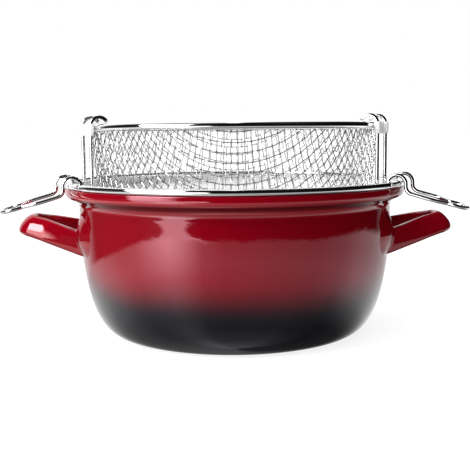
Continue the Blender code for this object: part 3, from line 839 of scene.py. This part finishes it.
def make_floor(radius, pale, glow):
    """A pale floor for the camera and for shadows.

    Reflections and soft light take no part of it: for them the world has a floor of its own.
    """
    steps, drop = 128, 0.4 * MM
    angles = np.linspace(0, FULL_TURN, steps, endpoint=False)
    rim = np.stack([np.cos(angles), np.sin(angles), np.zeros(steps)], axis=1) * radius
    points = np.vstack([rim, [[0, 0, 0]]]) - np.array([0, 0, drop])
    floor = mesh_from_faces("pale_floor", points, fan_faces(np.arange(steps), steps))
    material, nodes, shader = shader_material("matt floor paint")
    nodes.feed(shader, {"Base Color": (pale, pale, pale, 1), "Roughness": 0.9, "Specular IOR Level": 0.0})
    nodes.feed(shader, {"Emission Color": (1, 1, 1, 1), "Emission Strength": glow})
    floor.data.materials.append(material)
    floor.visible_glossy = False
    floor.visible_diffuse = False


def make_light(name, place, target, size, power, glossy):
    light = bpy.data.lights.new(name, "AREA")
    light.shape = "RECTANGLE"
    light.size, light.size_y = size
    light.energy = power
    lamp = bpy.data.objects.new(name, light)
    lamp.location = place
    lamp.rotation_euler = (Vector(target) - Vector(place)).to_track_quat("-Z", "Y").to_euler()
    lamp.visible_glossy = glossy
    bpy.context.scene.collection.objects.link(lamp)


def by_angle(nodes, angle, span, pairs, full=BRIGHTEST):
    """A ramp over an angle from (degrees, level) pairs, where -span to span degrees come in as 0 to 1.

    Levels come out as shares of full, because a ramp's colours end at 1.
    """
    return nodes.ramp(angle, [((degrees + span) / (2 * span), level / full) for degrees, level in pairs])


def painted_floor(nodes, by_height, by_way):
    """The studio's floor in reflections. It falls off in light towards the pot.

    The window lights its left part, its sides are pale and its lower right lies in shade.
    """
    middle = by_height((
        (-81, 0.75), (-67, 0.38), (-50, 0.18), (-37, 0.27), (-30, 0.4), (-23, 0.55), (-17, 0.66), (-12, 0.5),
    ))
    lit = by_height((
        (-80, 1.2), (-60, 0.55), (-42, 0.54), (-35, 0.78), (-30, 1.2), (-22, 1.85), (-15, 3.7), (-11, 4.6),
    ))
    side = by_height((
        (-80, 0.7), (-60, 0.4), (-45, 0.36), (-36, 0.55), (-30, 0.8), (-24, 1.1), (-18, 1.2), (-12, 0.9),
    ))
    lit_way = by_way(((-95, 0), (-76, 0.24), (-62, 0.65), (-48, 1), (-40, 0.85), (-24, 0.12), (-8, 0)), 1)
    side_way = by_way(((-100, 1), (-76, 0.25), (-56, 0), (58, 0), (82, 0.35), (100, 1)), 1)
    shade_way = by_way(((40, 0), (85, 0.8), (150, 0.8), (178, 0)), 1)
    shade_height = by_height(((-42, 1), (-24, 0)), 1)
    floor = nodes.mix(side_way, nodes.mix(lit_way, middle, lit), side)
    return nodes.mix(nodes.math("MULTIPLY", shade_way, shade_height), floor, (0.004, 0.004, 0.005))


def painted_room(nodes, up, round_z, by_way):
    """The room above the floor in reflections: dark in front and at the sides, and pale behind.

    Up to the sill, one bright strip stands at the left, narrowest a little below the horizon. The
    window stands over it, from the sill to the lintel. The ceiling's middle is white.
    """
    low = by_way((
        (-140, 1.1), (-122, 0.06), (-70, 0.13), (-54, 0.3), (-34, 0.1), (-24, 0.01), (122, 0.004), (150, 1.1),
    ))
    window = by_way((
        (-128, 1.1), (-114, 0.012), (-74, 0.012), (-69, 6.0), (-50, 5.8), (-42, 3.4), (-38.5, 1.5),
        (-36, 0.02), (-20, 0.004), (150, 0.004), (165, 1.1),
    ))
    aloft = by_way((
        (-126, 1.1), (-112, 0.012), (-74, 0.012), (-64, 0.55), (-52, 0.55), (-45, 0.012), (-30, 0.004),
        (30, 0.004), (60, 0.03), (150, 0.03), (165, 1.1),
    ))
    off_waist = nodes.math("SUBTRACT", up, 0.5 - 8.2 / 180)
    widening = nodes.math("MULTIPLY", nodes.math("MULTIPLY", off_waist, off_waist), 187.0)
    off_strip = nodes.math("ABSOLUTE", nodes.math("SUBTRACT", round_z, 0.5 - 43 / 360))
    off_strip = nodes.math("SUBTRACT", off_strip, nodes.math("MINIMUM", widening, 0.05))
    strip = nodes.span(off_strip, 0.016, 0.03, 1.0, 0.0, "SMOOTHSTEP")
    sill = nodes.span(up, 0.5, 0.5 + 1.5 / 180)
    lintel = nodes.span(up, 0.5 + 46 / 180, 0.5 + 54 / 180)
    ceiling = nodes.span(up, 0.5 + 85 / 180, 0.5 + 90 / 180, step="SMOOTHSTEP")
    low = nodes.mix(strip, low, (0.76, 0.76, 0.76))
    return nodes.mix(ceiling, nodes.mix(sill, low, nodes.mix(lintel, window, aloft)), (1, 1, 1))


def make_world(ambient):
    """Surroundings by elevation and by azimuth from the camera's side, right positive.

    Reflections see a painted room and its floor, matt surfaces get a soft light that comes mostly
    from the left, and the camera sees white.
    """
    world = bpy.data.worlds.new("studio")
    world.use_nodes = True
    nodes = Nodes(world.node_tree)
    way = nodes.add("ShaderNodeTexCoord").outputs["Generated"]
    parts = nodes.add("ShaderNodeSeparateXYZ", {0: way}).outputs
    toward = nodes.math("MULTIPLY", parts["Y"], -1.0)
    up = nodes.math("MULTIPLY_ADD", nodes.math("ARCSINE", parts["Z"]), 1 / math.pi, 0.5)
    round_z = nodes.math("MULTIPLY_ADD", nodes.math("ARCTAN2", parts["X"], toward), 1 / FULL_TURN, 0.5)
    by_height = partial(by_angle, nodes, up, 90)
    by_way = partial(by_angle, nodes, round_z, 180)
    floor = painted_floor(nodes, by_height, by_way)
    room = painted_room(nodes, up, round_z, by_way)
    # The floor's far edge lies higher by these degrees, which the ramp holds as its levels
    rise = by_way((
        (-105, 0), (-95, 0.3), (-72, 2.2), (-60, 3.0), (-44, 3.0), (-24, 2.0), (60, 2.0), (105, 4.6),
        (140, 4.6),
    ))
    from_edge = nodes.math("SUBTRACT", up, nodes.math("MULTIPLY", rise, BRIGHTEST / 180))
    edge = nodes.span(from_edge, 0.5 - 13.3 / 180, 0.5 - 12.5 / 180)
    reflected = nodes.scale(nodes.mix(edge, floor, room), BRIGHTEST)
    soft = by_way(((-180, 3), (-100, 5), (-50, 4.4), (0, 2.4), (45, 2.1), (80, 0.5), (120, 0.3), (180, 3)))
    path = nodes.add("ShaderNodeLightPath").outputs
    colour = nodes.mix(path["Is Glossy Ray"], nodes.scale(soft, ambient), reflected)
    colour = nodes.mix(path["Is Camera Ray"], colour, (1, 1, 1))
    nodes.feed(world.node_tree.nodes["Background"], {"Color": colour})
    bpy.context.scene.world = world


def make_camera(place, pitch, roll, lens):
    data = bpy.data.cameras.new("photo_camera")
    data.lens = lens
    data.sensor_width = 36.0
    data.clip_start = 0.01
    camera = bpy.data.objects.new("photo_camera", data)
    camera.matrix_world = (
        Matrix.Translation(place)
        @ Matrix.Rotation(math.pi / 2 - pitch, 4, "X")
        @ Matrix.Rotation(roll, 4, "Z")
    )
    bpy.context.scene.collection.objects.link(camera)
    bpy.context.scene.camera = camera


# Settings, operators and panel


def colour_setting(name, description, default):
    return bpy.props.FloatVectorProperty(
        name=name, description=description, subtype="COLOR", size=3, min=0, max=1, default=default,
    )


def length_setting(name, description, default, low, high):
    return bpy.props.FloatProperty(
        name=name, description=description, default=default, min=low, max=high, unit="LENGTH",
    )


def angle_setting(name, description, degrees):
    return bpy.props.FloatProperty(
        name=name, description=description, default=math.radians(degrees), subtype="ANGLE",
    )


def count_setting(name, description, default, low, high):
    return bpy.props.IntProperty(name=name, description=description, default=default, min=low, max=high)


class FryPotSettings(bpy.types.PropertyGroup):
    """Sizes and colours of the pot that a user may change."""

    red: colour_setting("Red", "Colour of the enamel above the fade", (0.2, 0.0006, 0.006))
    dark: colour_setting("Dark", "Colour of the enamel below the fade", (0.006, 0.006, 0.009))
    fade_middle: length_setting("Fade Height", "Height where red and black are half mixed", 46 * MM, 0, 0.12)
    fade_width: length_setting("Fade Width", "How far the fade reaches from its middle", 20 * MM, 0.001, 0.06)
    round_steps: count_setting("Round Steps", "Faces round the pot and its rim", 256, 32, 512)


class FryBasketSettings(bpy.types.PropertyGroup):
    """Sizes of the basket's mesh, the hangers and the handles."""

    wire_count: count_setting("Wires Each Way", "Number of mesh wires in each direction", 52, 10, 70)
    wire_radius: length_setting(
        "Mesh Wire Radius", "Half the thickness of the mesh's wire", 0.42 * MM, 0.0001, 0.001
    )
    wire_samples: bpy.props.FloatProperty(
        name="Rings a Crossing", description="Rings of faces from one crossing to the next", default=4.0,
        min=2, max=8,
    )
    hanger_radius: length_setting(
        "Hanger Wire Radius", "Half the thickness of the hangers' wire", 1.5 * MM, 0.0005, 0.003
    )
    handle_columns: count_setting("Handle Columns", "Faces round a handle's bar", 48, 12, 128)


class FryStageSettings(bpy.types.PropertyGroup):
    """Camera and light."""

    lens: bpy.props.FloatProperty(
        name="Lens", description="Focal length in millimetres", default=63.96, min=20, max=200,
    )
    distance: length_setting("Camera Distance", "From the pot's axis", 0.70, 0.3, 3)
    height: length_setting("Camera Height", "Above the floor", 0.164, 0.01, 2)
    pitch: angle_setting("Camera Pitch", "Angle below the level", 7.05)
    roll: angle_setting("Camera Roll", "Turn about the camera's own axis", -0.5)
    sky: bpy.props.FloatProperty(
        name="Ambient Light", description="Soft light on matt surfaces", default=1.6, min=0, max=5,
    )


class FRYPOT_OT_enamel_pot(bpy.types.Operator):
    """Make the enamelled pot"""

    bl_idname = "frypot.enamel_pot"
    bl_label = "Enamel Pot"

    def execute(self, context):
        sizes = context.scene.fry_pot
        make_enamel_pot(sizes.red, sizes.dark, sizes.fade_middle, sizes.fade_width, sizes.round_steps)
        return {"FINISHED"}


class FRYPOT_OT_rims(bpy.types.Operator):
    """Make the rolled rims of the pot and the basket"""

    bl_idname = "frypot.rims"
    bl_label = "Rolled Rims"

    def execute(self, context):
        steps = context.scene.fry_pot.round_steps
        steel = bright_metal(
            "polished rim strip", (0.93, 0.92, 0.93), (0.84, 0.84, 0.85), (0.04, 0.1), 0.001 * MM, 25.0
        )
        make_rolled_rim(
            "rolled_pot_rim", POT_RIM_RADIUS, POT_RIM_HEIGHT - 0.3 * MM, POT_RIM_TUBE, 2.4 * MM, 0.72,
            "pot", steel, ["pot_rim"], steps,
        )
        make_rolled_rim(
            "rolled_basket_rim", BASKET_RIM_RADIUS, BASKET_RIM_HEIGHT, BASKET_RIM_TUBE, BASKET_RIM_TUBE, 1.0,
            "basket", steel, ["basket_rim"], steps,
        )
        return {"FINISHED"}


class FRYPOT_OT_handles(bpy.types.Operator):
    """Make the two loop handles"""

    bl_idname = "frypot.handles"
    bl_label = "Handles"

    def execute(self, context):
        make_handles(context.scene.fry_pot.red, context.scene.fry_basket.handle_columns)
        return {"FINISHED"}


class FRYPOT_OT_basket_wires(bpy.types.Operator):
    """Weave the basket's mesh"""

    bl_idname = "frypot.basket_wires"
    bl_label = "Basket Wires"

    def execute(self, context):
        sizes = context.scene.fry_basket
        make_basket_wires(sizes.wire_count, sizes.wire_radius, sizes.wire_samples)
        return {"FINISHED"}


class FRYPOT_OT_hangers(bpy.types.Operator):
    """Bend the two hangers"""

    bl_idname = "frypot.hangers"
    bl_label = "Hangers"

    def execute(self, context):
        make_hangers(context.scene.fry_basket.hanger_radius)
        return {"FINISHED"}


class FRYPOT_OT_clips(bpy.types.Operator):
    """Bend the two clips"""

    bl_idname = "frypot.clips"
    bl_label = "Clips"

    def execute(self, context):
        make_clips()
        return {"FINISHED"}


class FRYPOT_OT_stage(bpy.types.Operator):
    """Make the floor, the lights and the camera"""

    bl_idname = "frypot.stage"
    bl_label = "Stage"

    def execute(self, context):
        sizes = context.scene.fry_stage
        make_floor(radius=40.0, pale=0.34, glow=0.84)
        make_world(sizes.sky)
        make_light("top_softbox", (0, -0.2, 1.4), (0, 0, 0), size=(1.4, 1.0), power=8, glossy=False)
        make_light(
            "left_softbox", (-0.62, -0.42, 0.55), (-0.3, -0.2, 0), size=(0.5, 0.4), power=7.5, glossy=True
        )
        make_camera((0, -sizes.distance, sizes.height), sizes.pitch, sizes.roll, sizes.lens)
        context.scene.view_settings.view_transform = "Standard"
        return {"FINISHED"}


class FRYPOT_PT_sidebar(bpy.types.Panel):
    """Lists the pot's operators and settings"""

    bl_idname = "FRYPOT_PT_sidebar"
    bl_label = "Fry Pot"
    bl_space_type = "VIEW_3D"
    bl_region_type = "UI"
    bl_category = "Fry Pot"

    def draw(self, context):
        for name in SETTINGS:
            group = getattr(context.scene, name)
            box = self.layout.box()
            for key in group.__annotations__:
                box.prop(group, key)
        for operator in OPERATORS:
            self.layout.operator(operator.bl_idname)


SETTINGS = {"fry_pot": FryPotSettings, "fry_basket": FryBasketSettings, "fry_stage": FryStageSettings}
OPERATORS = (
    FRYPOT_OT_enamel_pot,
    FRYPOT_OT_rims,
    FRYPOT_OT_handles,
    FRYPOT_OT_basket_wires,
    FRYPOT_OT_hangers,
    FRYPOT_OT_clips,
    FRYPOT_OT_stage,
)
CLASSES = (*SETTINGS.values(), *OPERATORS, FRYPOT_PT_sidebar)


def register():
    for known in CLASSES:
        bpy.utils.register_class(known)
    for name, group in SETTINGS.items():
        setattr(bpy.types.Scene, name, bpy.props.PointerProperty(type=group))


def unregister():
    for name in SETTINGS:
        delattr(bpy.types.Scene, name)
    for known in reversed(CLASSES):
        bpy.utils.unregister_class(known)


def main():
    register()
    bpy.ops.frypot.enamel_pot()
    bpy.ops.frypot.rims()
    bpy.ops.frypot.handles()
    bpy.ops.frypot.basket_wires()
    bpy.ops.frypot.hangers()
    bpy.ops.frypot.clips()
    bpy.ops.frypot.stage()


if __name__ == "__main__":
    main()
